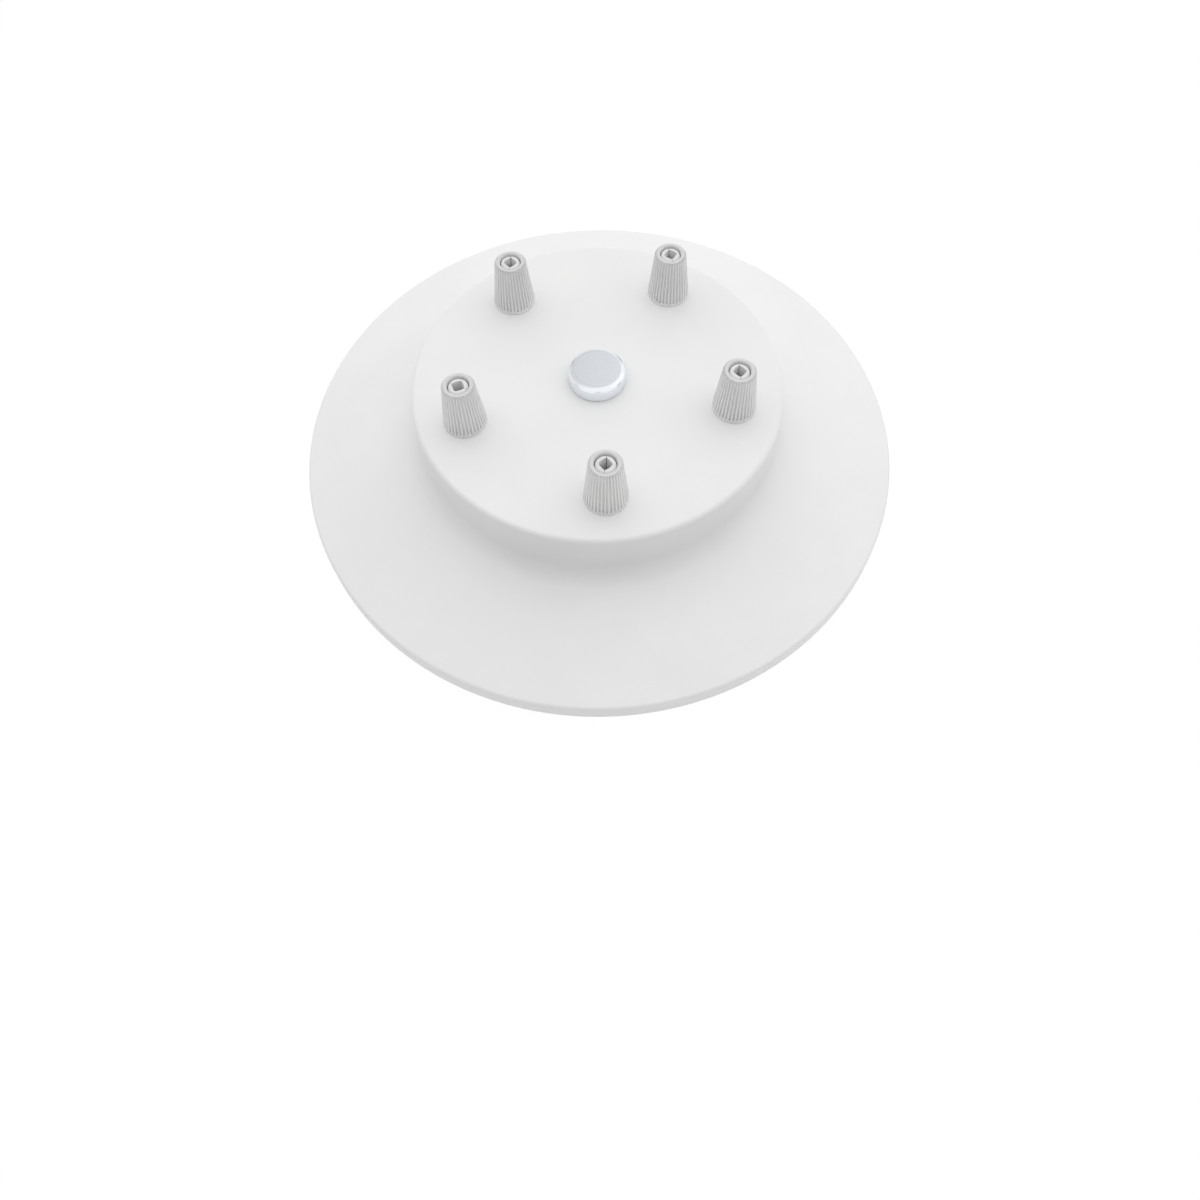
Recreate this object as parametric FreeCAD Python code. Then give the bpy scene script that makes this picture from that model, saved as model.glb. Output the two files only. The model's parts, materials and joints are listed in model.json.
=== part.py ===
"""Five-outlet electrical ceiling rose, in millimetres.

A pressed steel shell with a sloping brim covers the wiring. A steel strap is screwed to the ceiling,
and a threaded stud on it passes through the shell into a round cap nut, which holds the shell up.
Five ribbed plastic cord grips stand on the shell. Turning a grip's cone draws its split stem upwards
and closes the two jaws on the cord.

Origin: centre of the ceiling plane, where the rim and the strap's feet lie. +Z points out of the ceiling
into the room, along the stud and the grips. The first grip stands on -Y, and the strap runs along X.
"""

import FreeCAD
import Part

import math
import os

from FreeCAD import Vector

# Shell: one pressed sheet, outside sizes
RIM_DIAMETER = 200.0
LIP_HEIGHT = 6.0
BRIM_SLOPE = 15.0
BOSS_DIAMETER = 120.0
SHELL_HEIGHT = 36.0
SHELL_SHEET = 1.0
TOP_BEND = 1.7
FOOT_BEND = 6.0
LIP_BEND = 1.3
HOLE_PLAY = 0.3

# Threads are plain cylinders at their outside diameter
THREAD_PLAY = 0.08

# Cord grips
GRIP_COUNT = 5
GRIP_MARGIN = 15.5
GRIP_CIRCLE = BOSS_DIAMETER - 2 * GRIP_MARGIN
FIRST_GRIP_ANGLE = -90.0
GRIP_THREAD = 9.8
CONE_BASE = 13.7
CONE_TIP = 10.2
CONE_HEIGHT = 18.0
CONE_BAND = 1.1
CONE_TIP_BEND = 0.8
CONE_MOUTH = 6.8
CONE_MOUTH_BEND = 0.4
CONE_MOUTH_DEPTH = 2.0
CONE_THREAD_DEPTH = 7.5
CONE_TAPER = 8.8
FLUTE_COUNT = 36
FLUTE_WIDTH = 0.5
FLUTE_DEPTH_BASE = 0.8
FLUTE_DEPTH_TIP = 0.5

# Split stem of a grip
STEM_REACH = 7.0
STEM_SPARE = 2.0
STEM_BORE = 6.6
JAW_RECESS = 0.4
JAW_TIP = 5.8
JAW_NOSE = 0.4
JAW_SQUARE = 3.0
JAW_SLIT = 0.25
JAW_PLAY = 0.1
JAW_LENGTH = 7.0
JAW_ANGLES = (80.0, 88.0, 98.0, 85.0, 154.0)
GRIP_WASHER = 16.0
GRIP_WASHER_SHEET = 1.0
GRIP_NUT_ACROSS = 14.0
GRIP_NUT_HEIGHT = 4.0

# Cap nut and stud
STUD_THREAD = 9.8
STUD_BORE = 7.5
STUD_CHAMFER = 0.6
STUD_GRIP = 4.0
CAP_DIAMETER = 18.4
CAP_HEIGHT = 5.6
CAP_BEND = 2.2
CAP_FOOT_CHAMFER = 0.5
CAP_THREAD_DEPTH = 4.4
JAM_NUT_ACROSS = 14.0
JAM_NUT_HEIGHT = 4.0
NUT_CHAMFER_ANGLE = 30.0

# Ceiling strap: one folded steel strip
STRAP_WIDTH = 18.0
STRAP_SHEET = 1.6
STRAP_PLATEAU = 82.0
STRAP_RISE = 8.0
STRAP_JOGGLE = 6.0
STRAP_FOOT = 15.0
STRAP_BEND = 2.4
STRAP_CORNER = 4.0
SLOT_WIDTH = 4.5
SLOT_LENGTH = 9.0

# Terminal block on the strap
POLE_COUNT = 3
POLE_PITCH = 10.0
BLOCK_WIDTH = 16.0
BLOCK_BASE = 2.4
BLOCK_HEIGHT = 12.0
BLOCK_GAP = 1.5
BARREL = 6.0
BARREL_AXIS = 4.6
CHIMNEY = 5.2
CHIMNEY_SPACING = 8.4
TUBE = 4.4
TUBE_BORE = 3.0
TUBE_LENGTH = 14.0
CLAMP_SCREW = 2.5
CLAMP_HEAD = 3.4
CLAMP_HEAD_HEIGHT = 1.8
CLAMP_SINK = 1.0
SCREW_SLOT = 0.6
SCREW_SLOT_DEPTH = 0.8
BLOCK_SCREW = 2.4
BLOCK_SCREW_HEAD = 3.8
BLOCK_SCREW_HEAD_HEIGHT = 1.6
BLOCK_SCREW_TIP = 2.0
FIT_PLAY = 0.1

# Earth terminal on the strap
EARTH_SCREW = 3.9
EARTH_HEAD = 8.0
EARTH_HEAD_HEIGHT = 2.8
EARTH_HEAD_BEND = 1.0
EARTH_WASHER = 9.0
EARTH_WASHER_SHEET = 1.0
EARTH_PLACE = -22.0
EARTH_TIP = 4.0

UP = Vector(0, 0, 1)
ORIGIN = Vector(0, 0, 0)


# Drawing helpers

def in_section(x, z):
    """A point of the XZ plane, in which sections are drawn."""
    return Vector(x, 0, z)


def polar(radius, degrees):
    """(x, y) at a radius and an angle about Z."""
    angle = math.radians(degrees)
    return radius * math.cos(angle), radius * math.sin(angle)


def heading(start, end):
    """Unit direction from one (x, z) corner to the next."""
    run = math.hypot(end[0] - start[0], end[1] - start[1])
    return ((end[0] - start[0]) / run, (end[1] - start[1]) / run)


def turn_at(corners, i):
    """Signed turn in radians at corner i: positive to the left, negative to the right."""
    a = heading(corners[i - 1], corners[i])
    b = heading(corners[i], corners[i + 1])
    return math.atan2(a[0] * b[1] - a[1] * b[0], a[0] * b[0] + a[1] * b[1])


def shifted(corners, distance):
    """The same chain of straight runs, moved sideways to the right by a distance."""
    moved = []
    last = len(corners) - 1
    for i, (x, z) in enumerate(corners):
        a = heading(corners[max(i - 1, 0)], corners[max(i, 1)])
        b = heading(corners[min(i, last - 1)], corners[min(i + 1, last)])
        side = (a[1] + b[1], -a[0] - b[0])
        share = distance / (1 + a[0] * b[0] + a[1] * b[1])
        moved.append((x + side[0] * share, z + side[1] * share))
    return moved


def rounded_path(corners, radii):
    """Edges of straight runs whose inner corners are rounded by tangent arcs."""
    edges = []
    start = corners[0]
    for i in range(1, len(corners) - 1):
        turn = turn_at(corners, i)
        radius = radii[i - 1]
        a = heading(corners[i - 1], corners[i])
        b = heading(corners[i], corners[i + 1])
        cut = radius * math.tan(abs(turn) / 2)
        first = (corners[i][0] - a[0] * cut, corners[i][1] - a[1] * cut)
        second = (corners[i][0] + b[0] * cut, corners[i][1] + b[1] * cut)
        inward = heading((a[0], a[1]), (b[0], b[1]))
        depth = radius * (1 / math.cos(turn / 2) - 1)
        middle = (corners[i][0] + inward[0] * depth, corners[i][1] + inward[1] * depth)
        edges.append(Part.LineSegment(in_section(*start), in_section(*first)).toShape())
        edges.append(Part.Arc(in_section(*first), in_section(*middle), in_section(*second)).toShape())
        start = second
    edges.append(Part.LineSegment(in_section(*start), in_section(*corners[-1])).toShape())
    return edges


def sheet_section(corners, radii, sheet):
    """Face of a bent sheet: the rounded path, and the same path one sheet to its right."""
    inner = shifted(corners, sheet)
    inner_radii = []
    for i in range(1, len(corners) - 1):
        inner_radii.append(radii[i - 1] + math.copysign(sheet, turn_at(corners, i)))
    edges = rounded_path(corners, radii)
    edges.append(Part.LineSegment(in_section(*corners[-1]), in_section(*inner[-1])).toShape())
    edges += reversed(rounded_path(inner, inner_radii))
    edges.append(Part.LineSegment(in_section(*inner[0]), in_section(*corners[0])).toShape())
    return Part.Face(Part.Wire(Part.__sortEdges__(edges)))


def turned(corners, radii=None):
    """Solid of revolution about Z from a closed (radius, z) outline, with optional rounded corners."""
    if radii is None:
        points = [in_section(*c) for c in corners]
        wire = Part.makePolygon(points + points[:1])
    else:
        ring = [corners[-1]] + list(corners) + [corners[0]]
        edges = []
        ends = []
        for i in range(1, len(ring) - 1):
            if radii[i - 1] == 0:
                ends.append((ring[i], ring[i]))
            else:
                arc = rounded_path(ring[i - 1:i + 2], [radii[i - 1]])[1]
                first, second = arc.Vertexes
                ends.append(((first.X, first.Z), (second.X, second.Z)))
                edges.append(arc)
        for i in range(len(ends)):
            edges.append(Part.LineSegment(in_section(*ends[i - 1][1]), in_section(*ends[i][0])).toShape())
        wire = Part.Wire(Part.__sortEdges__(edges))
    return Part.Face(wire).revolve(ORIGIN, UP, 360)


def rod(diameter, low, high, x=0.0, y=0.0):
    """Upright round bar between two heights."""
    return Part.makeCylinder(diameter / 2, high - low, Vector(x, y, low), UP)


def ring(outside, inside, low, high):
    """Upright tube between two heights."""
    return rod(outside, low, high).cut(rod(inside, low, high))


def hex_nut(across, bore, height):
    """Hexagon nut on z = 0, with both faces chamfered and its bore left plain."""
    corner = across / math.sqrt(3)
    points = [Vector(*polar(corner, 60 * k), 0) for k in range(6)]
    prism = Part.Face(Part.makePolygon(points + points[:1])).extrude(Vector(0, 0, height))
    rise = (corner - across / 2) * math.tan(math.radians(NUT_CHAMFER_ANGLE))
    blank = turned([(0, 0), (across / 2, 0), (corner, rise),
                    (corner, height - rise), (across / 2, height), (0, height)])
    return prism.common(blank).cut(rod(bore, 0, height))


def slotted_screw(shank, length, head, head_height, edge=0.0):
    """Slotted screw with its head's underside on z = 0, its shank below and the head's top edge rounded."""
    crown = turned([(0, 0), (head / 2, 0), (head / 2, head_height), (0, head_height)], (0, 0, edge, 0))
    body = crown.fuse(rod(shank, -length, 0))
    slot = Part.makeBox(head, SCREW_SLOT, SCREW_SLOT_DEPTH,
                        Vector(-head / 2, -SCREW_SLOT / 2, head_height - SCREW_SLOT_DEPTH))
    return body.cut(slot).removeSplitter()


def at(shape, x, y, z, turn=0.0):
    """A copy of a shape, turned about its own upright axis and set down at a place."""
    copy = shape.copy()
    copy.rotate(ORIGIN, UP, turn)
    copy.translate(Vector(x, y, z))
    return copy


# Shell

def grip_places():
    """(x, y) of each grip on its circle, anticlockwise from the first."""
    step = 360 / GRIP_COUNT
    return [polar(GRIP_CIRCLE / 2, FIRST_GRIP_ANGLE + step * k) for k in range(GRIP_COUNT)]


def rose_shell():
    """The pressed shell: flat boss, round foot, sloping brim and turned-down lip, with its six holes."""
    rim = RIM_DIAMETER / 2
    boss = BOSS_DIAMETER / 2
    foot = LIP_HEIGHT + (rim - boss) * math.tan(math.radians(BRIM_SLOPE))
    stud_hole = STUD_THREAD / 2 + HOLE_PLAY
    corners = [(stud_hole, SHELL_HEIGHT), (boss, SHELL_HEIGHT), (boss, foot), (rim, LIP_HEIGHT), (rim, 0)]
    section = sheet_section(corners, (TOP_BEND, FOOT_BEND, LIP_BEND), SHELL_SHEET)
    shell = section.revolve(ORIGIN, UP, 360)
    low = SHELL_HEIGHT - 2 * SHELL_SHEET
    high = SHELL_HEIGHT + SHELL_SHEET
    holes = [rod(GRIP_THREAD + 2 * HOLE_PLAY, low, high, x, y) for x, y in grip_places()]
    return shell.cut(holes)


# Cord grips, each drawn with the shell's top face on z = 0

def cone_radius(z):
    """Outside radius of a cone's ribs at a height."""
    return CONE_BASE / 2 + (CONE_TIP - CONE_BASE) / 2 * (z - CONE_BAND) / (CONE_HEIGHT - CONE_BAND)


def grip_cone():
    """Ribbed cone: a round band at its foot, fine upright flutes, a rounded tip and a stepped bore."""
    base = CONE_BASE / 2
    tip = CONE_TIP / 2
    mouth = CONE_MOUTH / 2
    thread = GRIP_THREAD / 2 + THREAD_PLAY
    corners = [(thread, 0), (base, 0), (base, CONE_BAND), (tip, CONE_HEIGHT), (mouth, CONE_HEIGHT),
               (mouth, CONE_HEIGHT - CONE_MOUTH_DEPTH), (CONE_TAPER / 2, CONE_THREAD_DEPTH),
               (thread, CONE_THREAD_DEPTH)]
    radii = (0, 0, 0, CONE_TIP_BEND, CONE_MOUTH_BEND, 0, 0, 0)
    cone = turned(corners, radii)
    low = cone_radius(CONE_BAND) - FLUTE_DEPTH_BASE
    high = cone_radius(CONE_HEIGHT) - FLUTE_DEPTH_TIP
    section = [in_section(low, CONE_BAND), in_section(high, CONE_HEIGHT),
               in_section(CONE_BASE, CONE_HEIGHT), in_section(CONE_BASE, CONE_BAND)]
    flute = Part.Face(Part.makePolygon(section + section[:1])).extrude(Vector(0, FLUTE_WIDTH, 0))
    flute.translate(Vector(0, -FLUTE_WIDTH / 2, 0))
    return cone.cut([at(flute, 0, 0, 0, 360 / FLUTE_COUNT * k) for k in range(FLUTE_COUNT)])


def stem_tail():
    """How far a stem reaches below the shell's top face."""
    return SHELL_SHEET + GRIP_WASHER_SHEET + GRIP_NUT_HEIGHT + STEM_SPARE


def grip_stem():
    """Threaded stem whose upper half is split into two jaws around a square hole."""
    thread = GRIP_THREAD / 2
    top = CONE_HEIGHT - JAW_RECESS
    seat = CONE_HEIGHT - CONE_MOUTH_DEPTH
    neck = CONE_TAPER / 2 - JAW_PLAY
    jaw = CONE_MOUTH / 2 - JAW_PLAY
    outline = [(0, -stem_tail()), (thread, -stem_tail()), (thread, STEM_REACH), (neck, STEM_REACH),
               (neck, CONE_THREAD_DEPTH), (jaw, seat), (JAW_TIP / 2, top - JAW_NOSE),
               (JAW_TIP / 2 - JAW_NOSE, top), (0, top)]
    stem = turned(outline)
    square = Part.makeBox(JAW_SQUARE, JAW_SQUARE, JAW_LENGTH + JAW_RECESS,
                          Vector(-JAW_SQUARE / 2, -JAW_SQUARE / 2, top - JAW_LENGTH))
    square.rotate(ORIGIN, UP, 45)
    slit = Part.makeBox(CONE_BASE, JAW_SLIT, CONE_HEIGHT - STEM_REACH,
                        Vector(-CONE_BASE / 2, -JAW_SLIT / 2, STEM_REACH))
    return stem.cut([rod(STEM_BORE, -stem_tail(), top - JAW_LENGTH), square, slit])


def grip_washer():
    """Flat washer against the inside of the shell."""
    top = -SHELL_SHEET
    return ring(GRIP_WASHER, GRIP_THREAD + 2 * HOLE_PLAY, top - GRIP_WASHER_SHEET, top)


def grip_nut():
    """Hexagon nut that holds the stem from inside."""
    nut = hex_nut(GRIP_NUT_ACROSS, GRIP_THREAD + 2 * THREAD_PLAY, GRIP_NUT_HEIGHT)
    return at(nut, 0, 0, -SHELL_SHEET - GRIP_WASHER_SHEET - GRIP_NUT_HEIGHT)


# Cap nut, stud and strap

def cap_nut():
    """Round blind nut with a softened top edge, standing on the shell."""
    radius = CAP_DIAMETER / 2
    thread = STUD_THREAD / 2 + THREAD_PLAY
    corners = [(thread, 0), (radius - CAP_FOOT_CHAMFER, 0), (radius, CAP_FOOT_CHAMFER), (radius, CAP_HEIGHT),
               (0, CAP_HEIGHT), (0, CAP_THREAD_DEPTH), (thread, CAP_THREAD_DEPTH)]
    nut = turned(corners, (0, 0, 0, CAP_BEND, 0, 0, 0))
    return at(nut, 0, 0, SHELL_HEIGHT)


def plateau_top():
    """Height of the strap's raised middle, where the stud and the terminals stand."""
    return STRAP_RISE + STRAP_SHEET


def threaded_stud():
    """Hollow threaded stud from the strap's lower nut up into the cap nut."""
    low = STRAP_RISE - JAM_NUT_HEIGHT
    high = SHELL_HEIGHT + STUD_GRIP
    radius = STUD_THREAD / 2
    bore = STUD_BORE / 2
    return turned([(bore, low), (radius - STUD_CHAMFER, low), (radius, low + STUD_CHAMFER),
                   (radius, high - STUD_CHAMFER), (radius - STUD_CHAMFER, high), (bore, high)])


def jam_nut(low):
    """One of the two thin nuts that clamp the stud to the strap."""
    return at(hex_nut(JAM_NUT_ACROSS, STUD_THREAD + 2 * THREAD_PLAY, JAM_NUT_HEIGHT), 0, 0, low)


def slot_place():
    """Distance of each fixing slot's centre from the middle of the strap."""
    return STRAP_PLATEAU / 2 + STRAP_JOGGLE + STRAP_FOOT / 2


def strap_end():
    """Half the strap's length."""
    return STRAP_PLATEAU / 2 + STRAP_JOGGLE + STRAP_FOOT


def fixing_slot(x):
    """Cutter for one round-ended fixing slot, which runs along the strap."""
    half = (SLOT_LENGTH - SLOT_WIDTH) / 2
    slot = Part.makeBox(2 * half, SLOT_WIDTH, plateau_top(), Vector(x - half, -SLOT_WIDTH / 2, 0))
    ends = [rod(SLOT_WIDTH, 0, plateau_top(), x + side * half) for side in (-1, 1)]
    return slot.fuse(ends)


def ceiling_strap():
    """Folded strap: two feet on the ceiling, a raised middle, and holes for all that it carries."""
    end = strap_end()
    middle = STRAP_PLATEAU / 2
    knee = middle + STRAP_JOGGLE
    corners = [(end, 0), (knee, 0), (middle, STRAP_RISE), (-middle, STRAP_RISE), (-knee, 0), (-end, 0)]
    outer = STRAP_BEND
    inner = STRAP_BEND + STRAP_SHEET
    section = sheet_section(corners, (inner, outer, outer, inner), STRAP_SHEET)
    strip = section.extrude(Vector(0, STRAP_WIDTH, 0))
    strip.translate(Vector(0, -STRAP_WIDTH / 2, 0))
    plan = Part.makeBox(2 * end, STRAP_WIDTH, plateau_top(), Vector(-end, -STRAP_WIDTH / 2, 0))
    uprights = [e for e in plan.Edges if abs(e.tangentAt(e.FirstParameter).z) > 0.9]
    strip = strip.common(plan.makeFillet(STRAP_CORNER, uprights))
    cutters = [fixing_slot(slot_place()), fixing_slot(-slot_place()),
               rod(STUD_THREAD + 2 * HOLE_PLAY, 0, plateau_top()),
               rod(EARTH_SCREW + 2 * THREAD_PLAY, 0, plateau_top(), EARTH_PLACE),
               rod(BLOCK_SCREW + 2 * THREAD_PLAY, 0, plateau_top(), block_screw_place())]
    return strip.cut(cutters)


# Terminal block

def pole_places():
    """x of each pole, from the stud outwards."""
    first = JAM_NUT_ACROSS / math.sqrt(3) + BLOCK_GAP + POLE_PITCH / 2
    return [first + POLE_PITCH * k for k in range(POLE_COUNT)]


def block_screw_place():
    """x of the screw that holds the block, in the web between the first two poles."""
    return pole_places()[0] + POLE_PITCH / 2


def clamp_places():
    """(x, y) of every clamping screw."""
    return [(x, side * CHIMNEY_SPACING / 2) for x in pole_places() for side in (-1, 1)]


def clamp_height():
    """Height of the underside of a clamping screw's head."""
    return plateau_top() + BLOCK_HEIGHT - CLAMP_SINK - CLAMP_HEAD_HEIGHT


def barrel(diameter, length, x):
    """Round bar along Y through one pole."""
    start = Vector(x, -length / 2, plateau_top() + BARREL_AXIS)
    return Part.makeCylinder(diameter / 2, length, start, Vector(0, 1, 0))


def terminal_block():
    """Moulded strip: a base, a barrel for each pole and a chimney over each clamping screw."""
    low = plateau_top()
    top = low + BLOCK_HEIGHT
    start = pole_places()[0] - POLE_PITCH / 2
    corner = Vector(start, -BLOCK_WIDTH / 2, low)
    base = Part.makeBox(POLE_PITCH * POLE_COUNT, BLOCK_WIDTH, BLOCK_BASE, corner)
    barrels = [barrel(BARREL, BLOCK_WIDTH, x) for x in pole_places()]
    feet = [Part.makeBox(BARREL, BLOCK_WIDTH, BARREL_AXIS, Vector(x - BARREL / 2, -BLOCK_WIDTH / 2, low))
            for x in pole_places()]
    chimneys = [rod(CHIMNEY, low, top, x, y) for x, y in clamp_places()]
    body = base.fuse(barrels + feet + chimneys).removeSplitter()
    bores = [barrel(TUBE + 2 * FIT_PLAY, BLOCK_WIDTH, x) for x in pole_places()]
    wells = [rod(CLAMP_HEAD + 4 * FIT_PLAY, low + BARREL_AXIS, top, x, y) for x, y in clamp_places()]
    screw_hole = rod(BLOCK_SCREW + 2 * HOLE_PLAY, low, top, block_screw_place())
    return body.cut(bores + wells + [screw_hole])


def terminal_tube(x):
    """Brass tube of one pole, tapped from above for its two screws."""
    tube = barrel(TUBE, TUBE_LENGTH, x).cut(barrel(TUBE_BORE, TUBE_LENGTH, x))
    axis = plateau_top() + BARREL_AXIS
    sides = (-CHIMNEY_SPACING / 2, CHIMNEY_SPACING / 2)
    taps = [rod(CLAMP_SCREW + 2 * THREAD_PLAY, axis, axis + TUBE, x, y) for y in sides]
    return tube.cut(taps)


def terminal_screws():
    """All clamping screws, as separate solids in one group."""
    length = clamp_height() - plateau_top() - BARREL_AXIS
    screw = slotted_screw(CLAMP_SCREW, length, CLAMP_HEAD, CLAMP_HEAD_HEIGHT)
    return Part.makeCompound([at(screw, x, y, clamp_height()) for x, y in clamp_places()])


def block_screw():
    """Screw that holds the terminal block down on the strap."""
    screw = slotted_screw(BLOCK_SCREW, BLOCK_BASE + STRAP_SHEET + BLOCK_SCREW_TIP, BLOCK_SCREW_HEAD,
                          BLOCK_SCREW_HEAD_HEIGHT)
    return at(screw, block_screw_place(), 0, plateau_top() + BLOCK_BASE)


# Earth terminal

def earth_screw():
    """Round-headed slotted screw for the earth lead."""
    seat = plateau_top() + EARTH_WASHER_SHEET
    length = EARTH_WASHER_SHEET + STRAP_SHEET + EARTH_TIP
    screw = slotted_screw(EARTH_SCREW, length, EARTH_HEAD, EARTH_HEAD_HEIGHT, EARTH_HEAD_BEND)
    return at(screw, EARTH_PLACE, 0, seat)


def earth_washer():
    """Washer that presses the earth lead on the strap."""
    washer = ring(EARTH_WASHER, EARTH_SCREW + 2 * HOLE_PLAY, 0, EARTH_WASHER_SHEET)
    return at(washer, EARTH_PLACE, 0, plateau_top())


def all_pieces():
    """Every piece of the rose by name, in its place."""
    pieces = {
        "rose_shell": rose_shell(),
        "cap_nut": cap_nut(),
        "threaded_stud": threaded_stud(),
        "stud_nut_lower": jam_nut(STRAP_RISE - JAM_NUT_HEIGHT),
        "stud_nut_upper": jam_nut(plateau_top()),
        "ceiling_strap": ceiling_strap(),
        "terminal_block": terminal_block(),
        "terminal_screws": terminal_screws(),
        "block_screw": block_screw(),
        "earth_screw": earth_screw(),
        "earth_washer": earth_washer(),
    }
    for k, x in enumerate(pole_places(), 1):
        pieces[f"terminal_tube_{k}"] = terminal_tube(x)
    cone, stem, washer, nut = grip_cone(), grip_stem(), grip_washer(), grip_nut()
    for k, (x, y) in enumerate(grip_places(), 1):
        pieces[f"grip_cone_{k}"] = at(cone, x, y, SHELL_HEIGHT)
        pieces[f"grip_stem_{k}"] = at(stem, x, y, SHELL_HEIGHT, JAW_ANGLES[(k - 1) % len(JAW_ANGLES)])
        pieces[f"grip_washer_{k}"] = at(washer, x, y, SHELL_HEIGHT)
        pieces[f"grip_nut_{k}"] = at(nut, x, y, SHELL_HEIGHT)
    return pieces


def main():
    os.makedirs("parts", exist_ok=True)
    for name, shape in all_pieces().items():
        shape.exportStep(os.path.join("parts", name + ".step"))
        state = "valid" if shape.isValid() else "INVALID"
        print(name, len(shape.Solids), "solid", round(shape.Volume, 1), "mm3", state)


main()
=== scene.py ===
# %% [markdown]
# # A white ceiling rose with five cord grips
#
# The real object is a pressed steel hat, painted white, that hides the wiring where pendant lamps leave
# the ceiling. It lies here on its rim with its grips upwards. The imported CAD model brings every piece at
# its real size, so this lesson only has to give each piece the surface that a camera sees. Lengths are
# metres, and +Z points up.

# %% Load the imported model
import json
import math
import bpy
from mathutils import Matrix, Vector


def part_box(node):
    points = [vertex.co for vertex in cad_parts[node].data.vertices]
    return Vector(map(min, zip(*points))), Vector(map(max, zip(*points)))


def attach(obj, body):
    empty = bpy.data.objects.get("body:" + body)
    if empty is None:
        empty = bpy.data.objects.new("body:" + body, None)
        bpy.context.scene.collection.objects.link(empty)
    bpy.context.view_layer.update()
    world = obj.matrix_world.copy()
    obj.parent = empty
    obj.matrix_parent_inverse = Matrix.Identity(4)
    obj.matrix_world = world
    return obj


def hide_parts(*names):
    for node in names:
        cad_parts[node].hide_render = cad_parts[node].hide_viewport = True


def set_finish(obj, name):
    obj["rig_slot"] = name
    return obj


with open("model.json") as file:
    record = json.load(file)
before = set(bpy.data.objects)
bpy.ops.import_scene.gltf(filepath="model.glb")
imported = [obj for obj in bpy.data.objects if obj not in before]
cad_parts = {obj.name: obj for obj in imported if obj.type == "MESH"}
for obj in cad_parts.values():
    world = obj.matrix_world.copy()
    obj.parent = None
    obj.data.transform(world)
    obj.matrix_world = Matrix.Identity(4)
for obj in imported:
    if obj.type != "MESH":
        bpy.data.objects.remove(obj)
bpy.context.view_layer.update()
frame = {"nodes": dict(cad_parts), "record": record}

from types import SimpleNamespace

import bmesh
import bpy
import numpy as np
from mathutils import Matrix, Vector

MM = 0.001

# %% [markdown]
# ## Sizes from the frame
#
# A piece that takes the place of a CAD node has to lie exactly where that node lies. The boxes of the
# nodes give the overall sizes and the places of the grips. Bends, walls and threads that a box can't give
# are named in millimetres where they are first needed.

# %% Read the places of the shell and the grips


def middle(name):
    """Centre of a node's box in plan, as (x, y)."""
    low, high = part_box(name)
    return (low.x + high.x) / 2, (low.y + high.y) / 2


GRIP_COUNT = 5
GRIPS = range(1, GRIP_COUNT + 1)
RIM_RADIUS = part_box("rose_shell")[1].x
SHELL_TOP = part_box("rose_shell")[1].z
GRIP_PLACES = {n: middle(f"grip_cone_{n}") for n in GRIPS}
GRIP_CIRCLE = math.hypot(*GRIP_PLACES[1])
print("rim radius", round(RIM_RADIUS, 4), "top", round(SHELL_TOP, 4), "grip circle", round(GRIP_CIRCLE, 4))

# %% [markdown]
# ## Surfaces from arrays
#
# Every new piece below is a grid of points: one parameter runs along a profile and the other runs round an
# axis. Working the whole grid out as one array is quick, and it makes the form easy to read as a formula.
# Blender then gets the points and the quads between them. Points that fall together, at a seam or a pole,
# are merged afterwards.

# %% Grid helpers


def grid_faces(rows, columns):
    """Quads between neighbouring rows and columns of a grid whose last column meets its first."""
    i, j = np.meshgrid(np.arange(rows - 1), np.arange(columns), indexing="ij")
    k = (j + 1) % columns
    corners = [i * columns + j, i * columns + k, (i + 1) * columns + k, (i + 1) * columns + j]
    return np.stack(corners, -1).reshape(-1, 4)


def turned(profile, segments):
    """A (radius, z) profile carried round the Z axis: (r cos t, r sin t, z)."""
    t = np.arange(segments) * (2 * np.pi / segments)
    r, z = profile[:, :1], profile[:, 1:]
    points = np.stack([r * np.cos(t), r * np.sin(t), z + 0 * t], -1)
    return points.reshape(-1, 3), grid_faces(len(profile), segments)


def stacked(*skins):
    """Several (points, faces) skins as one, each skin's faces numbered on from the points before it."""
    starts = np.cumsum([0] + [len(points) for points, faces in skins])
    all_points = np.concatenate([points for points, faces in skins])
    return all_points, np.concatenate([skin[1] + start for skin, start in zip(skins, starts)])


def turned_over(skin):
    """The same skin with its faces pointing the other way."""
    return skin[0], skin[1][:, ::-1]


print("a grid of 3 rows and 4 columns has", len(grid_faces(3, 4)), "quads")

# %% [markdown]
# ## Profiles
#
# A pressed, moulded or turned section is a chain of straight runs with a bend at each corner. It could be
# drawn as a curve by hand, but a list of corners and a list of radii are easier to change and give true
# arcs. Three helpers do this: one rounds the corners, one finds the other face of a sheet, and one divides
# long runs so that the quads stay well shaped.

# %% Profile helpers


def unit(vector):
    """A vector of the (radius, z) plane at length one."""
    return vector / np.hypot(*vector)


def rounded(corners, radii, steps):
    """Straight runs between corners, with a tangent arc of a given radius in place of each inner corner."""
    corners = np.asarray(corners, float)
    parts = [corners[:1]]
    for before, corner, after, radius in zip(corners, corners[1:], corners[2:], radii):
        a, b = unit(before - corner), unit(after - corner)
        half = math.acos(np.clip(a @ b, -1, 1)) / 2
        if radius == 0:
            parts.append(corner[None])
            continue
        centre = corner + unit(a + b) * radius / math.sin(half)
        start = corner + a * radius / math.tan(half) - centre
        swing = (np.pi - 2 * half) * np.sign(a[1] * b[0] - a[0] * b[1])
        t = np.linspace(0, swing, steps + 1)[:, None]
        parts.append(centre + start * np.cos(t) + np.array([-start[1], start[0]]) * np.sin(t))
    parts.append(corners[-1:])
    return np.concatenate(parts)


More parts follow.
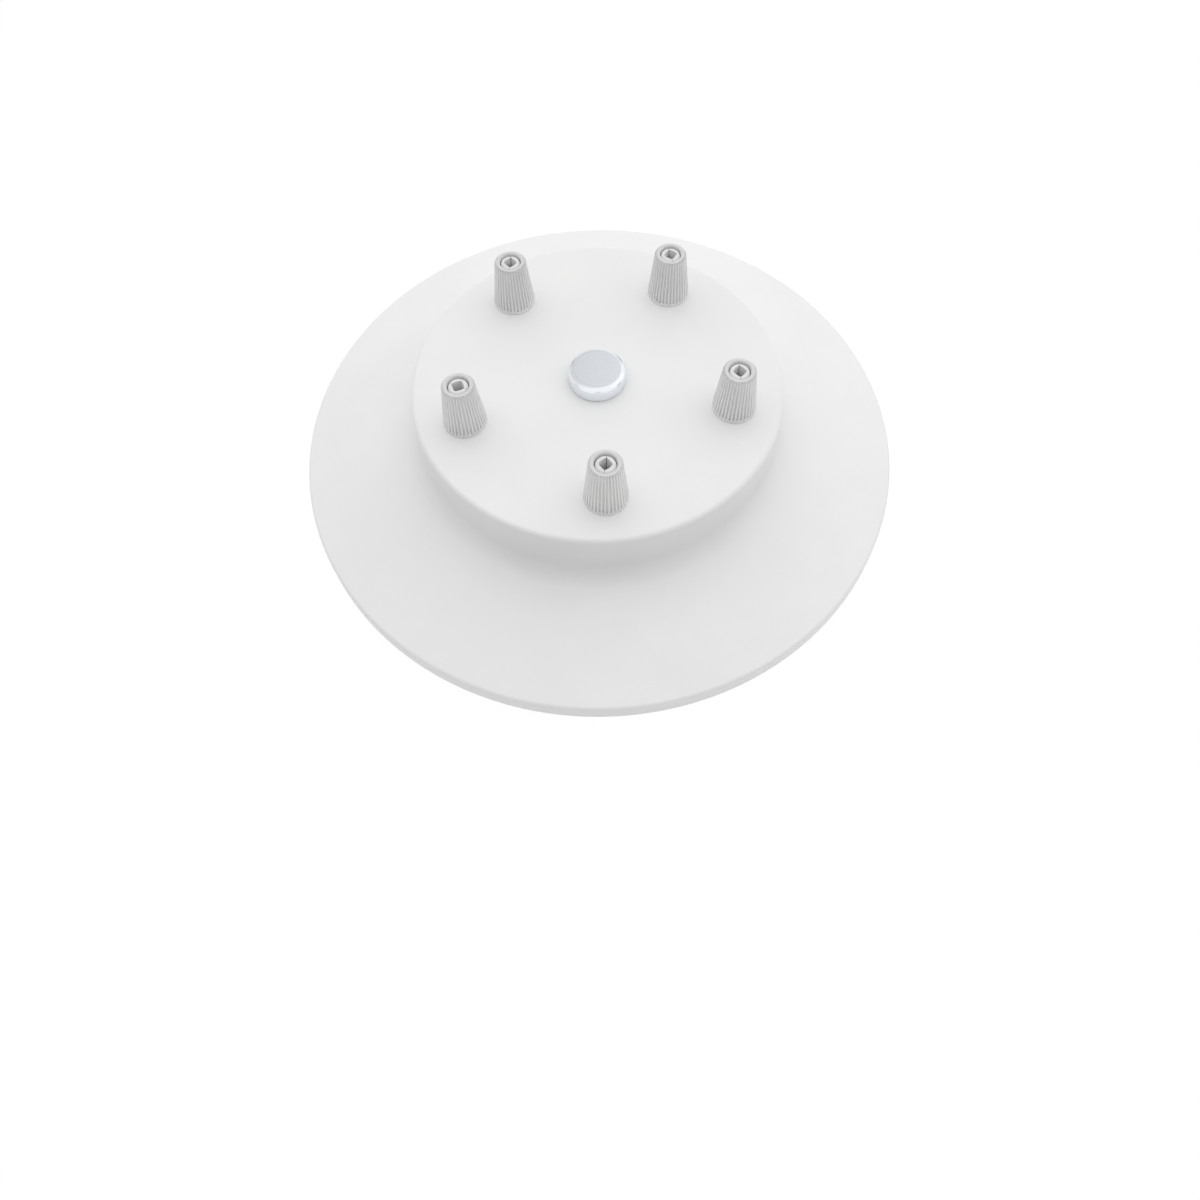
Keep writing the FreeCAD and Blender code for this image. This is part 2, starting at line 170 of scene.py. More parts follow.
def beside(corners, distance):
    """The same chain of straight runs, moved sideways to the right of its direction by a distance."""
    corners = np.asarray(corners, float)
    runs = np.diff(corners, axis=0)
    runs /= np.hypot(runs[:, 0], runs[:, 1])[:, None]
    a, b = np.vstack([runs[:1], runs]), np.vstack([runs, runs[-1:]])
    side = np.stack([a[:, 1] + b[:, 1], -a[:, 0] - b[:, 0]], 1)
    return corners + side * (distance / (1 + (a * b).sum(1)))[:, None]


def refine(profile, longest):
    """The same profile with long runs divided, so that no step is longer than a length."""
    steps = np.hypot(*np.diff(profile, axis=0).T)
    along = np.concatenate([[0], np.cumsum(steps)])
    runs = [(a, b) for a, b in zip(along, along[1:]) if b > a]
    marks = [np.linspace(a, b, max(2, int((b - a) / longest) + 2))[:-1] for a, b in runs]
    marks = np.concatenate(marks + [along[-1:]])
    return np.stack([np.interp(marks, along, axis) for axis in profile.T], 1)


print("a corner rounded in 4 steps has", len(rounded([(0, 0), (1, 0), (1, 1)], [0.5], 4)), "points")

# %% [markdown]
# ## From arrays to a piece
#
# Each piece has to know three things besides its mesh: the moving body that it rides on, the finish that
# it takes, and the CAD nodes whose place it takes. One function does this for all of them. It also merges
# the points that fall together and counts the open edges, so that a hole in a skin shows in the print.

# %% Make a piece of the object

FUSE = 1e-4 * MM
SHARP = math.radians(32)


def add_piece(name, skin, body, slot, *nodes):
    """A mesh object from a skin, riding on a body in place of the CAD nodes that it stands for."""
    mesh = bpy.data.meshes.new(name)
    mesh.from_pydata(skin[0].tolist(), [], skin[1].tolist())
    work = bmesh.new()
    work.from_mesh(mesh)
    bmesh.ops.remove_doubles(work, verts=work.verts, dist=FUSE)
    volume = work.calc_volume(signed=True)
    open_edges = sum(1 for edge in work.edges if not edge.is_manifold)
    work.to_mesh(mesh)
    work.free()
    mesh.shade_smooth()
    mesh.set_sharp_from_angle(angle=SHARP)
    piece = bpy.data.objects.new(name, mesh)
    bpy.context.scene.collection.objects.link(piece)
    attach(piece, body)
    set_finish(piece, slot)
    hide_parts(*nodes)
    print(name, len(mesh.polygons), "faces", round(volume / MM ** 3, 1), "mm3", open_edges, "open edges")
    return piece


print("points within", FUSE / MM, "mm merge, edges over", round(math.degrees(SHARP)), "degrees stay sharp")

# %% [markdown]
# ## The pressed shell
#
# The shell starts as a flat disc of 1 mm steel and is drawn over a tool, so its section is a chain of
# straight runs with soft bends: the flat boss, its rounded edge, an upright wall, a wide round foot, a
# sloping brim and a lip that turns down to the ceiling. A Screw modifier could turn the section, but arrays
# keep both faces of the sheet exactly one thickness apart.

# %% Section of the shell

SHEET = 1.0 * MM
BOSS_RADIUS = 60 * MM
LIP_HEIGHT = 6.0 * MM
BRIM_SLOPE = math.radians(15)
TOP_BEND, FOOT_BEND, LIP_BEND = 1.4 * MM, 7.0 * MM, 1.3 * MM
CUT_EDGE = 0.18 * MM
FLAT_RADIUS = BOSS_RADIUS - TOP_BEND
SHELL_SEGMENTS, SHELL_BEND_STEPS = 240, 12
SHELL_STEP = 4 * MM

foot_height = LIP_HEIGHT + (RIM_RADIUS - BOSS_RADIUS) * math.tan(BRIM_SLOPE)
outside = [(FLAT_RADIUS, SHELL_TOP), (BOSS_RADIUS, SHELL_TOP), (BOSS_RADIUS, foot_height),
           (RIM_RADIUS, LIP_HEIGHT), (RIM_RADIUS, 0)]
inside = beside(outside, SHEET)
lower_edge = (RIM_RADIUS - SHEET / 2, 0)
bends = np.array([TOP_BEND, FOOT_BEND, LIP_BEND])
inner_bends = bends + SHEET * np.array([-1, 1, -1])
inner_run = rounded([*inside, lower_edge], [*inner_bends, CUT_EDGE], SHELL_BEND_STEPS)
outer_run = rounded([lower_edge, *outside[::-1]], [CUT_EDGE, *bends[::-1]], SHELL_BEND_STEPS)
shell_section = refine(np.concatenate([inner_run, outer_run[1:]]), SHELL_STEP)
print("shell section has", len(shell_section), "points")

# %% [markdown]
# ## Holes in the boss
#
# The flat boss is punched for the stud and the five grips. A boolean would cut the holes, and leave long
# thin triangles that shade badly under a glossy paint. Here the boss is a round grid with a window left out
# at each grip, and in each window lies a collar of quads that runs from the window's edge to the hole.

# %% Round grid with windows

STUD_HOLE = 5.2 * MM
GRIP_HOLE = 5.2 * MM
WINDOW_REACH = 10 * MM
WINDOW_RADII = (GRIP_CIRCLE - WINDOW_REACH, GRIP_CIRCLE + WINDOW_REACH)
WINDOW_STEPS = 9
INNER_RINGS, WINDOW_RINGS, COLLAR_ROWS = 12, 10, 7


def plate_rings():
    """Radii of the boss's rings, from the stud's hole outwards, and the places of the windows' edges."""
    inner = np.linspace(STUD_HOLE, WINDOW_RADII[0], INNER_RINGS)
    window = np.linspace(*WINDOW_RADII, WINDOW_RINGS)
    first = INNER_RINGS - 1
    return np.concatenate([inner, window[1:], [FLAT_RADIUS]]), first, first + WINDOW_RINGS - 1


def grip_columns():
    """Column of the round grid on which each grip stands."""
    turns = [math.atan2(y, x) / (2 * math.pi) for x, y in GRIP_PLACES.values()]
    return np.round(np.array(turns) * SHELL_SEGMENTS) % SHELL_SEGMENTS


def flat_plate(z):
    """Round grid at a height, without its windows: (r cos t, r sin t, z). Its faces point down."""
    rings, first, last = plate_rings()
    points, faces = turned(np.stack([rings, np.full(len(rings), z)], 1), SHELL_SEGMENTS)
    row, column = np.divmod(faces[:, 0], SHELL_SEGMENTS)
    half_turn = SHELL_SEGMENTS / 2
    away = np.abs((column + 0.5 - grip_columns()[:, None] + half_turn) % SHELL_SEGMENTS - half_turn)
    in_window = (away < WINDOW_STEPS).any(0) & (row >= first) & (row < last)
    return points, faces[~in_window]


print("rings of the boss:", len(plate_rings()[0]), "columns of the grips:", grip_columns().astype(int))

# %% Collars and walls of the grips' holes


def window_loop(column):
    """Edge of one window: out along its far ring, in, back along its near ring and out again."""
    rings, first, last = plate_rings()
    c = np.arange(column - WINDOW_STEPS, column + WINDOW_STEPS + 1)
    r = np.arange(first, last + 1)
    ring = np.concatenate([np.full(len(c) - 1, last), r[:0:-1], np.full(len(c) - 1, first), r[:-1]])
    place = np.concatenate([c[:-1], np.full(len(r) - 1, c[-1]), c[:0:-1], np.full(len(r) - 1, c[0])])
    angle = place * (2 * np.pi / SHELL_SEGMENTS)
    return np.stack([rings[ring] * np.cos(angle), rings[ring] * np.sin(angle)], 1)


def hole_edge(loop, centre):
    """Points of a hole's edge, each in line with the centre and a point of the window's edge."""
    out = loop - centre
    return centre + out * (GRIP_HOLE / np.hypot(out[:, 0], out[:, 1]))[:, None]


def collar(column, centre, z):
    """Quads from a hole to its window: hole + s (window - hole) for s from 0 to 1. They point down."""
    loop = window_loop(column)
    s = np.linspace(0, 1, COLLAR_ROWS)[:, None, None]
    flat = hole_edge(loop, centre) * (1 - s) + loop * s
    points = np.concatenate([flat, np.full(flat.shape[:2] + (1,), z)], 2)
    return points.reshape(-1, 3), grid_faces(COLLAR_ROWS, len(loop))


def hole_wall(column, centre):
    """Upright wall of a hole, from the top of the sheet to its underside."""
    edge = hole_edge(window_loop(column), centre)
    walls = [np.column_stack([edge, np.full(len(edge), z)]) for z in (SHELL_TOP, SHELL_TOP - SHEET)]
    return np.concatenate(walls), grid_faces(2, len(edge))


def boss_skins():
    """Both faces of the flat boss and the walls of its holes."""
    under = SHELL_TOP - SHEET
    stud_wall = turned(np.array([(STUD_HOLE, SHELL_TOP), (STUD_HOLE, under)]), SHELL_SEGMENTS)
    skins = [turned_over(flat_plate(SHELL_TOP)), flat_plate(under), stud_wall]
    for column, centre in zip(grip_columns(), GRIP_PLACES.values()):
        skins += [turned_over(collar(column, centre, SHELL_TOP)), collar(column, centre, under)]
        skins.append(hole_wall(column, centre))
    return skins


shell = add_piece("pressed_shell", stacked(turned(shell_section, SHELL_SEGMENTS), *boss_skins()),
                  "shell", "white_enamel", "rose_shell")

# %% [markdown]
# ## Ribbed cones of the cord grips
#
# Each grip is tightened by hand, so its cone is moulded with fine upright flutes between a plain band at
# the foot and a smooth rounded tip. Cutting them with a boolean would leave hard, uneven edges. Here the
# flutes are part of the formula: the radius is the cone's own radius less a groove, and the groove keeps
# its width in millimetres while the cone narrows, so the ribs thin out towards the tip as moulded ones do.

# %% Section of a cone

CONE_BAND = 1.1 * MM
CONE_TIP, CONE_TIP_BEND = 5.1 * MM, 0.8 * MM
CONE_MOUTH, CONE_MOUTH_DEPTH, CONE_MOUTH_BEND = 3.4 * MM, 2.0 * MM, 0.5 * MM
CONE_THREAD, CONE_THREAD_DEPTH = 4.98 * MM, 7.5 * MM
CONE_TAPER = 4.4 * MM
MOULD_EDGE = 0.15 * MM
FLUTE_EDGE = 0.06 * MM
CONE_BEND_STEPS, CONE_STEP = 9, 1.6 * MM
cone_low, cone_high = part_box("grip_cone_1")
CONE_BASE = (cone_high.x - cone_low.x) / 2
CONE_HEIGHT = cone_high.z - cone_low.z


def crest_radius(z):
    """Radius of the ribs' crests, falling in a straight line from the band to the tip."""
    return CONE_BASE + (CONE_TIP - CONE_BASE) * (z - CONE_BAND) / (CONE_HEIGHT - CONE_BAND)


def cone_section():
    """Closed (radius, z) section: foot, band, ribs' crests, round tip, mouth, tapered bore and thread."""
    foot = ((CONE_BASE + CONE_THREAD) / 2, 0)
    groove_end = CONE_BAND + FLUTE_EDGE
    seat = CONE_HEIGHT - CONE_MOUTH_DEPTH
    corners = [foot, (CONE_BASE, 0), (CONE_BASE, CONE_BAND), (crest_radius(groove_end), groove_end),
               (CONE_TIP, CONE_HEIGHT), (CONE_MOUTH, CONE_HEIGHT), (CONE_MOUTH, seat),
               (CONE_TAPER, CONE_THREAD_DEPTH), (CONE_THREAD, CONE_THREAD_DEPTH), (CONE_THREAD, 0), foot]
    radii = [MOULD_EDGE, 0, 0, CONE_TIP_BEND, CONE_MOUTH_BEND, 0, 0, 0, MOULD_EDGE]
    return refine(rounded(corners, radii, CONE_BEND_STEPS), CONE_STEP)


print("cone section has", len(cone_section()), "points")

# %% Cones with their flutes

FLUTES = 36
FLUTE_WIDTH = 0.56 * MM
FLUTE_DEPTH_FOOT, FLUTE_DEPTH_TIP = 0.8 * MM, 0.6 * MM
UPPER_WALL, LOWER_WALL = 0.2, 0.85
GROOVE_SHARES = np.array([0, 0, UPPER_WALL, LOWER_WALL, 1, LOWER_WALL, UPPER_WALL, 0])


def flute_floor(z):
    """Radius of the flutes' floor, which is deeper at the foot than at the tip."""
    up = (z - CONE_BAND) / (CONE_HEIGHT - CONE_BAND)
    return crest_radius(z) - FLUTE_DEPTH_FOOT - (FLUTE_DEPTH_TIP - FLUTE_DEPTH_FOOT) * up


def ribbed_cone(x, y, z0):
    """Radius = crest - share * depth, with the share from 0 on a rib's crest to 1 on a flute's floor."""
    r, z = cone_section().T
    fluted = (z > CONE_BAND + FLUTE_EDGE / 2) & (r > CONE_MOUTH + MOULD_EDGE)
    fluted[np.argmax(z) + 1:] = False
    depth = np.where(fluted, r - flute_floor(z), 0).clip(0)
    pitch = 2 * np.pi / FLUTES
    edge, wall = FLUTE_EDGE / r, pitch / 2 - FLUTE_WIDTH / 2 / r
    one_rib = np.stack([0 * r, wall - edge, wall, wall + edge, 0 * r + pitch / 2,
                        pitch - wall - edge, pitch - wall, pitch - wall + edge], 1)
    starts = np.arange(FLUTES)[None, :, None] * pitch + pitch / 2
    t = (starts + one_rib[:, None, :]).reshape(len(r), -1)
    radius = r[:, None] - depth[:, None] * np.tile(GROOVE_SHARES, FLUTES)
    points = np.stack([x + radius * np.cos(t), y + radius * np.sin(t), z0 + z[:, None] + 0 * t], -1)
    return points.reshape(-1, 3), grid_faces(len(r), t.shape[1])


cones = [add_piece(f"ribbed_cone_{n}", ribbed_cone(*GRIP_PLACES[n], SHELL_TOP), f"cone_{n}",
                   "grey_grip_plastic", f"grip_cone_{n}") for n in GRIPS]

# %% [markdown]
# ## Threads
#
# Inside each cone stands a threaded tube, and the stud in the middle of the rose is one too. A thread can
# be made with a Screw modifier, but its ends are then hard to close. Here it is a real helix in one
# formula: the radius depends on the height and the turn together, which gives every ridge at once.

# %% Threaded tube

PITCH = 1.0 * MM
THREAD_DEPTH = 0.55 * MM
THREAD_STEEPNESS, THREAD_FLAT = 1.3, 0.15
THREAD_ROWS, THREAD_SEGMENTS = 10, 48


def threaded_tube(low, high, crest, bore, x=0.0, y=0.0):
    """Radius = crest - depth * ridge(z / pitch - t / 2 pi), chamfered at both ends, round a plain bore."""
    rows = int(round((high - low) / PITCH * THREAD_ROWS)) + 1
    z = np.linspace(low, high, rows)[:, None]
    t = np.arange(THREAD_SEGMENTS) * (2 * np.pi / THREAD_SEGMENTS)
    phase = (z / PITCH - t / (2 * np.pi)) % 1
    ridge = (THREAD_STEEPNESS * np.abs(2 * phase - 1) - THREAD_FLAT).clip(0, 1)
    near_end = np.minimum(z - low, high - z)
    radius = np.minimum(crest - THREAD_DEPTH * ridge, crest - THREAD_DEPTH + near_end)
    radius = np.vstack([np.full((1, len(t)), bore), radius, np.full((2, len(t)), bore)])
    z = np.concatenate([[[low]], z, [[high], [low]]])
    points = np.stack([x + radius * np.cos(t), y + radius * np.sin(t), z + 0 * t], -1)
    return points.reshape(-1, 3), grid_faces(len(z), len(t))


print("a turn of thread has", THREAD_ROWS * THREAD_SEGMENTS, "quads")

# %% [markdown]
# ## Split stems
#
# The upper half of a stem is split into two jaws round a square hole. Screwing the cone down pulls the
# tapered jaws into its mouth, and they close on the cord. They could be cut from the tube, but then every
# taper needs a cut of its own. Here each jaw is one closed outline, an arc and a V, carried upwards while
# its arc shrinks. The V is a superellipse, which softens the square's corners as moulding does.

# %% Levels of a jaw

STEM_REACH, STEM_BORE = 7.0 * MM, 3.3 * MM
JAW_BELOW_TIP = 0.4 * MM
JAW_TOP = CONE_HEIGHT - JAW_BELOW_TIP
JAW_LENGTH, JAW_SINK = 7.0 * MM, 0.2 * MM
JAW_SEAT = CONE_HEIGHT - CONE_MOUTH_DEPTH
JAW_NECK, JAW_SHOULDER, JAW_TIP, JAW_NOSE = 4.3 * MM, 3.3 * MM, 3.0 * MM, 0.4 * MM
HOLE_SIDE = 3.0 * MM
JAW_CORNER = HOLE_SIDE / math.sqrt(2)
FLARE_DEPTH, FLARE_WIDTH = 1.3 * MM, 0.3 * MM
JAW_EDGE = 0.08 * MM


def jaw_levels():
    """Rows of height, outer radius, half diagonal of the hole, and 1 where the hole is still round."""
    change = JAW_TOP - JAW_LENGTH
    narrow = JAW_CORNER - FLARE_WIDTH
    risen = (change - CONE_THREAD_DEPTH) / (JAW_SEAT - CONE_THREAD_DEPTH)
    waist = JAW_NECK + (JAW_SHOULDER - JAW_NECK) * risen
    return np.array([(STEM_REACH - JAW_SINK, JAW_NECK, JAW_CORNER, 1),
                     (CONE_THREAD_DEPTH, JAW_NECK, JAW_CORNER, 1),
                     (change, waist, JAW_CORNER, 1),
                     (change, waist, narrow, 0),
                     (JAW_SEAT, JAW_SHOULDER, narrow, 0),
                     (JAW_TOP - FLARE_DEPTH, JAW_SHOULDER, narrow, 0),
                     (JAW_TOP - JAW_NOSE, JAW_TIP, JAW_CORNER - FLARE_WIDTH * JAW_NOSE / FLARE_DEPTH, 0),
                     (JAW_TOP - JAW_EDGE, JAW_TIP - JAW_NOSE + JAW_EDGE, JAW_CORNER - JAW_EDGE / 2, 0),
                     (JAW_TOP, JAW_TIP - JAW_NOSE - JAW_EDGE, JAW_CORNER + JAW_EDGE, 0)])


print("a jaw has", len(jaw_levels()), "levels")

# %% Jaws on their stems

SLIT_HALF = 0.04 * MM
HOLE_POWER = 1.22
ARC_POINTS = 25
JAW_DEGREES = {1: 80, 2: 88, 3: 98, 4: 85, 5: 154}
stem_low, stem_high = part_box("grip_stem_1")
STEM_CREST = (stem_high.x - stem_low.x) / 2


def jaw_loops():
    """Per level: (R cos a, R sin a) along the arc, then |x|^p + |y|^p = corner^p back round the hole."""
    z, outer, corner, is_round = jaw_levels().T[:, :, None]
    w = np.linspace(-1, 1, ARC_POINTS)
    rest = np.arcsin(SLIT_HALF / outer)
    a = rest + (np.pi - 2 * rest) * (w + 1) / 2
    arc = np.stack([outer * np.cos(a), outer * np.sin(a)], -1)
    vee_x = (corner - SLIT_HALF) * w
    vee_y = (corner ** HOLE_POWER - np.abs(vee_x) ** HOLE_POWER) ** (1 / HOLE_POWER)
    bore_x = np.sqrt(STEM_BORE ** 2 - SLIT_HALF ** 2) * np.sin(w * np.pi / 2)
    bore_y = np.sqrt(STEM_BORE ** 2 - bore_x ** 2)
    hole_x = np.where(is_round == 1, bore_x, vee_x)
    hole_y = np.where(is_round == 1, bore_y, vee_y)
    return np.concatenate([arc, np.stack([hole_x, hole_y], -1)], 1), z


def jaw(turn, x, y, z0):
    """The loops of a jaw turned about the grip's axis, joined by quads and closed at both ends."""
    loops, z = jaw_loops()
    c, s = math.cos(turn), math.sin(turn)
    flat = loops @ np.array([[c, s], [-s, c]]) + (x, y)
    points = np.concatenate([flat, np.broadcast_to(z0 + z[..., None], flat.shape[:2] + (1,))], 2)
    columns = 2 * ARC_POINTS
    i = np.arange(ARC_POINTS - 1)
    cap = np.stack([i, i + 1, columns - 2 - i, columns - 1 - i], 1)
    faces = np.concatenate([grid_faces(len(z), columns), cap[:, ::-1], cap + (len(z) - 1) * columns])
    return points.reshape(-1, 3), faces


def split_stem(n):
    """A threaded tube with two jaws, half a turn apart."""
    place = GRIP_PLACES[n]
    turn = math.radians(JAW_DEGREES[n])
    tube = threaded_tube(stem_low.z, SHELL_TOP + STEM_REACH, STEM_CREST, STEM_BORE, *place)
    return stacked(tube, jaw(turn, *place, SHELL_TOP), jaw(turn + math.pi, *place, SHELL_TOP))


stems = [add_piece(f"split_stem_{n}", split_stem(n), f"stem_{n}", "grey_grip_plastic", f"grip_stem_{n}")
         for n in GRIPS]

# %% [markdown]
# ## Painted shade inside the mouths
#
# The hole between the jaws and the mouth round them are painted darker than the tips, as painted shade
# where little light reaches. The material has to know where they are. An image could be painted, but it
# would need a UV map on ten pieces. Here the depth below the tip is stored on the points as an attribute,
# which moves with the piece.

# %% Mark the insides of cones and stems

# How far down and how strongly the insides of the grips are darkened, as painted shade.
PAINTED_SHADE_REACH = 0.6 * MM
MOUTH_PAINTED_SHADE, JAW_PAINTED_SHADE = 1.0, 0.26


def mark_inside(piece, place, reach_out, top, amount):
    """Amount * depth below the top, over a short reach, for points near the grip's axis."""
    mesh = piece.data
    x, y = place
    points = np.empty(len(mesh.vertices) * 3, np.float32)
    mesh.vertices.foreach_get("co", points)
    points = points.reshape(-1, 3)
    # Painted shade: the darkening grows with the depth below the top.
    painted_shade = amount * ((top - points[:, 2]) / PAINTED_SHADE_REACH).clip(0, 1)
    painted_shade[np.hypot(points[:, 0] - x, points[:, 1] - y) > reach_out] = 0
    mesh.attributes.new("inside", "FLOAT", "POINT").data.foreach_set("value", painted_shade.astype(np.float32))
    return int((painted_shade > 0).sum())


mouth_top, jaw_top = SHELL_TOP + CONE_HEIGHT - CONE_MOUTH_BEND, SHELL_TOP + JAW_TOP
for cone, stem, place in zip(cones, stems, GRIP_PLACES.values()):
    in_cone = mark_inside(cone, place, CONE_MOUTH + MOULD_EDGE, mouth_top, MOUTH_PAINTED_SHADE)
    in_stem = mark_inside(stem, place, STEM_CREST, jaw_top, JAW_PAINTED_SHADE)
print("points inside a grip:", in_cone, "on the cone and", in_stem, "on the stem")

# %% [markdown]
# ## Cap nut
#
# The cap nut is turned from a bar: a low drum with a small chamfer at its foot, which makes the dark line
# where it meets the paint, and a rounded top edge that carries the brightest reflections. Its top is
# crowned by a fifth of a millimetre, because a perfectly flat mirror would show one even tone. It is a
# plain lathe form, so a profile turned round the axis gives all of it.

# %% Turn the cap nut

cap_low, cap_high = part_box("cap_nut")
CAP_RADIUS, CAP_FOOT, CAP_TOP = cap_high.x, cap_low.z, cap_high.z
CAP_CHAMFER, CAP_BEND, CAP_CROWN = 0.5 * MM, 1.95 * MM, 0.2 * MM
CAP_THREAD, CAP_THREAD_DEPTH = 4.98 * MM, 4.4 * MM
CAP_FLAT = CAP_RADIUS - CAP_BEND
CAP_SEGMENTS, CAP_BEND_STEPS, CROWN_STEPS = 160, 16, 12
CAP_STEP = 1.5 * MM


def cap_section():
    """Foot, chamfer, side, bend and top, lowered by crown * (share of the height) * (r / radius)^2."""
    corners = [((CAP_RADIUS + CAP_THREAD) / 2, CAP_FOOT), (CAP_RADIUS - CAP_CHAMFER, CAP_FOOT),
               (CAP_RADIUS, CAP_FOOT + CAP_CHAMFER), (CAP_RADIUS, CAP_TOP), (CAP_FLAT, CAP_TOP)]
    drum = rounded(corners, [CAP_CHAMFER / 4, CAP_CHAMFER / 4, CAP_BEND], CAP_BEND_STEPS)
    flat = np.linspace(CAP_FLAT, 0, CROWN_STEPS)
    drum = np.concatenate([drum[:-1], np.stack([flat, 0 * flat + CAP_TOP], 1)])
    risen = np.clip((drum[:, 1] - CAP_FOOT) / (CAP_TOP - CAP_FOOT), 0, 1)
    drum[:, 1] -= CAP_CROWN * risen * (drum[:, 0] / CAP_RADIUS) ** 2
    return refine(drum, CAP_STEP)


drum = cap_section()
well_top = CAP_FOOT + CAP_THREAD_DEPTH
well = np.array([(0, well_top), (CAP_THREAD, well_top), (CAP_THREAD, CAP_FOOT), drum[0]])
cap_skin = stacked(turned(drum, CAP_SEGMENTS), turned(well, CAP_SEGMENTS))
cap_nut = add_piece("turned_cap_nut", cap_skin, "cap_nut", "bright_zinc", "cap_nut")

# %% [markdown]
# ## Stud
#
# The stud below the cap nut is a length of hollow lamp thread, cut off a long bar. It takes the same helix
# as the stems, so nothing new has to be worked out.

# %% Cut the stud

STUD_BORE = 3.75 * MM
stud_low, stud_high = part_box("threaded_stud")
stud = add_piece("lamp_thread_stud", threaded_tube(stud_low.z, stud_high.z, stud_high.x, STUD_BORE),
                 "strap", "zinc_steel", "threaded_stud")

# %% [markdown]
# ## Shared effects
#
# Paint, moulded plastic and rolled metal all differ from a flat colour by small irregularities, and only
# their size and strength change from one finish to the next. So there are two node groups that the
# finishes below share. The first gives a fine, even grain with slow clouds in it. The second gives lines:
# noise that is squeezed across the lines and stretched along them, as a lathe tool or a rolling mill
# leaves it.

# %% Node helpers


def node(tree, kind, values=None, **settings):
    """A new node with its settings and the values of its input sockets."""
    made = tree.nodes.new(kind)
    for name, value in settings.items():
        setattr(made, name, value)
    for socket, value in (values or {}).items():
        made.inputs[socket].default_value = value
    return made


def link(tree, *pairs):
    """Links between nodes, each from an output socket to an input socket."""
    for source, target in pairs:
        tree.links.new(source, target)


def effect_group(name, values, results):
    """An empty node group with float outputs and one vector input besides its float inputs."""
    tree = bpy.data.node_groups.new(name, "ShaderNodeTree")
    tree.interface.new_socket("Vector", in_out="INPUT", socket_type="NodeSocketVector")
    for socket, value in values.items():
        made = tree.interface.new_socket(socket, in_out="INPUT", socket_type="NodeSocketFloat")
        made.default_value = value
    for socket in results:
        tree.interface.new_socket(socket, in_out="OUTPUT", socket_type="NodeSocketFloat")
    return tree, node(tree, "NodeGroupInput").outputs, node(tree, "NodeGroupOutput").inputs


print("node groups so far:", len(bpy.data.node_groups))

# %% Grain and clouds

grain_group, given, result = effect_group("grain_and_clouds", {"Grain Scale": 900.0, "Cloud Scale": 40.0},
                                          ["Grain", "Clouds"])
grain = node(grain_group, "ShaderNodeTexNoise", {"Detail": 2.0, "Roughness": 0.55})
clouds = node(grain_group, "ShaderNodeTexNoise", {"Detail": 3.0, "Roughness": 0.6})
for noise, scale, name in ((grain, "Grain Scale", "Grain"), (clouds, "Cloud Scale", "Clouds")):
    link(grain_group, (given["Vector"], noise.inputs["Vector"]), (given[scale], noise.inputs["Scale"]),
         (noise.outputs["Fac"], result[name]))
print(grain_group.name, "has", len(grain_group.nodes), "nodes")

# %% Lines of a tool

lines_group, given, result = effect_group("tool_lines", {"Across": 3000.0, "Along": 60.0},
                                          ["Lines", "Patches"])
parts = node(lines_group, "ShaderNodeSeparateXYZ")
squeezed = node(lines_group, "ShaderNodeCombineXYZ")
lines = node(lines_group, "ShaderNodeTexNoise", {"Scale": 1.0, "Detail": 3.0, "Roughness": 0.65})
patches = node(lines_group, "ShaderNodeTexNoise", {"Scale": 130.0, "Detail": 2.0})
for axis, scale in (("X", "Along"), ("Y", "Across"), ("Z", "Across")):
    scaled = node(lines_group, "ShaderNodeMath", operation="MULTIPLY")
    link(lines_group, (parts.outputs[axis], scaled.inputs[0]), (given[scale], scaled.inputs[1]),
         (scaled.outputs[0], squeezed.inputs[axis]))
link(lines_group, (given["Vector"], parts.inputs[0]), (squeezed.outputs[0], lines.inputs["Vector"]),
     (given["Vector"], patches.inputs["Vector"]), (lines.outputs["Fac"], result["Lines"]),
     (patches.outputs["Fac"], result["Patches"]))
print(lines_group.name, "has", len(lines_group.nodes), "nodes")

# %% [markdown]
# ## How a finish is put together
#
# Every finish starts in the same way: a Principled shader, an effect group that reads Object coordinates,
# and the plain values on the shader's own sockets. Object coordinates are metres on the piece itself, so a
# scale means the same on every piece, and the pattern moves with it. What the effect gives then goes to the
# colour, the roughness and the bump, through a helper for each.

# %% Start a finish

FINISHES = {}
NOISE_REACH = (0.3, 0.7)


def start_finish(name, group, effect_values, shader_values):
    """A material with Object coordinates into an effect group, and plain values on the shader's sockets."""
    material = bpy.data.materials.new(name)
    material.use_nodes = True
    tree = material.node_tree
    shader = tree.nodes["Principled BSDF"]
    for socket, value in shader_values.items():
        shader.inputs[socket].default_value = value
    effect = node(tree, "ShaderNodeGroup", effect_values, node_tree=group)
    place = node(tree, "ShaderNodeTexCoord").outputs["Object"]
    link(tree, (place, effect.inputs["Vector"]))
    FINISHES[name] = material
    return SimpleNamespace(tree=tree, sockets=shader.inputs, effect=effect, place=place)


def ranged(finish, value, low, high, reach=NOISE_REACH):
    """A value brought from the range that it reaches into another one."""
    span = node(finish.tree, "ShaderNodeMapRange",
                {"From Min": reach[0], "From Max": reach[1], "To Min": low, "To Max": high})
    link(finish.tree, (value, span.inputs["Value"]))
    return span.outputs["Result"]


print("noise from", NOISE_REACH[0], "to", NOISE_REACH[1], "is stretched over the range of a finish")

# %% Carry an effect to the shader


def tint(finish, effect, dull, bright):
    """An effect turned into a colour between two, as the Base Color."""
    ramp = node(finish.tree, "ShaderNodeValToRGB")
    for stop, position, colour in zip(ramp.color_ramp.elements, NOISE_REACH, (dull, bright)):
        stop.position = position
        stop.color = (*colour, 1)
    link(finish.tree, (finish.effect.outputs[effect], ramp.inputs["Fac"]),
         (ramp.outputs["Color"], finish.sockets["Base Color"]))


